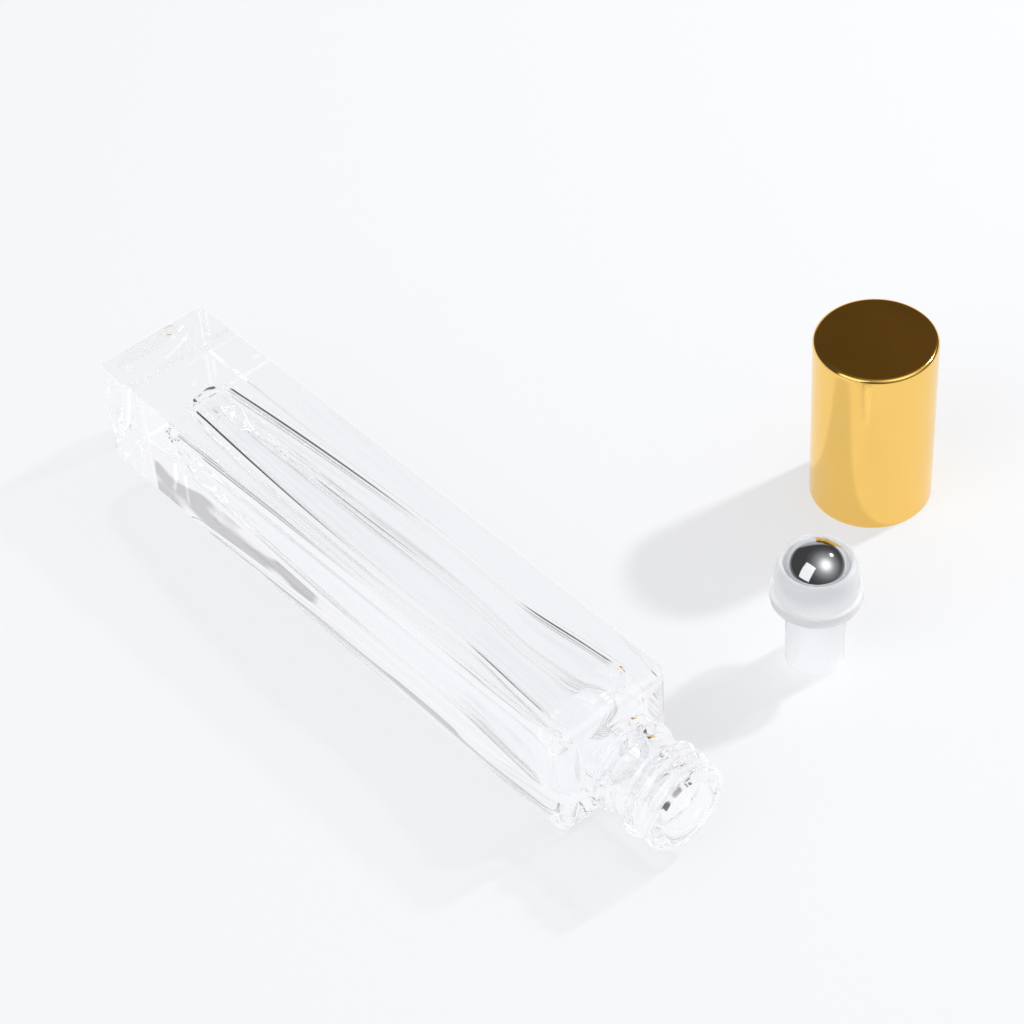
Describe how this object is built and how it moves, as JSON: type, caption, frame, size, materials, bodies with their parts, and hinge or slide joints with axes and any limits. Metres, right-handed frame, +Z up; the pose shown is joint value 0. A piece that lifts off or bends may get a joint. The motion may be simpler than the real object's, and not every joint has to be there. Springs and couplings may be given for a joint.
{
  "type": "roll-on bottle",
  "caption": "Square clear glass roll-on bottle with a screw neck, lying open beside its press-in roller housing with a steel ball and its gold metal cap with a threaded liner.",
  "frame": {"origin": "middle of the side face that the bottle body lies on", "axes": "+X along the bottle from its foot to its neck, +Y across the bottle towards the roller housing and the cap, +Z up"},
  "size_m": [0.1057, 0.078, 0.0263],
  "materials": {
    "clear_glass": "clear flint glass, polished, with slightly uneven pressed walls",
    "milky_plastic": "translucent milky white moulded polyethylene, satin gloss",
    "polished_steel": "mirror polished stainless steel",
    "gold_metal": "bright gold anodised aluminium, polished",
    "white_plastic": "white moulded polypropylene"
  },
  "bodies": {
    "bottle": {"glass_bottle": "clear_glass"},
    "plug": {"roller_housing": "milky_plastic"},
    "ball": {"steel_ball": "polished_steel"},
    "cap": {"cap_shell": "gold_metal", "cap_liner": "white_plastic"}
  },
  "joints": [
    {"name": "plug_lift", "type": "slide", "parent": "bottle", "child": "plug", "axis": [0, 0, 1], "range_m": [0, 0.0111]},
    {"name": "ball_roll", "type": "hinge", "parent": "plug", "child": "ball", "pos_m": [0.0464, 0.034, 0.0151], "axis": [1, 0, 0], "continuous": true},
    {"name": "cap_lift", "type": "slide", "parent": "bottle", "child": "cap", "axis": [0, 0, 1], "range_m": [0, 0.0201]}
  ]
}
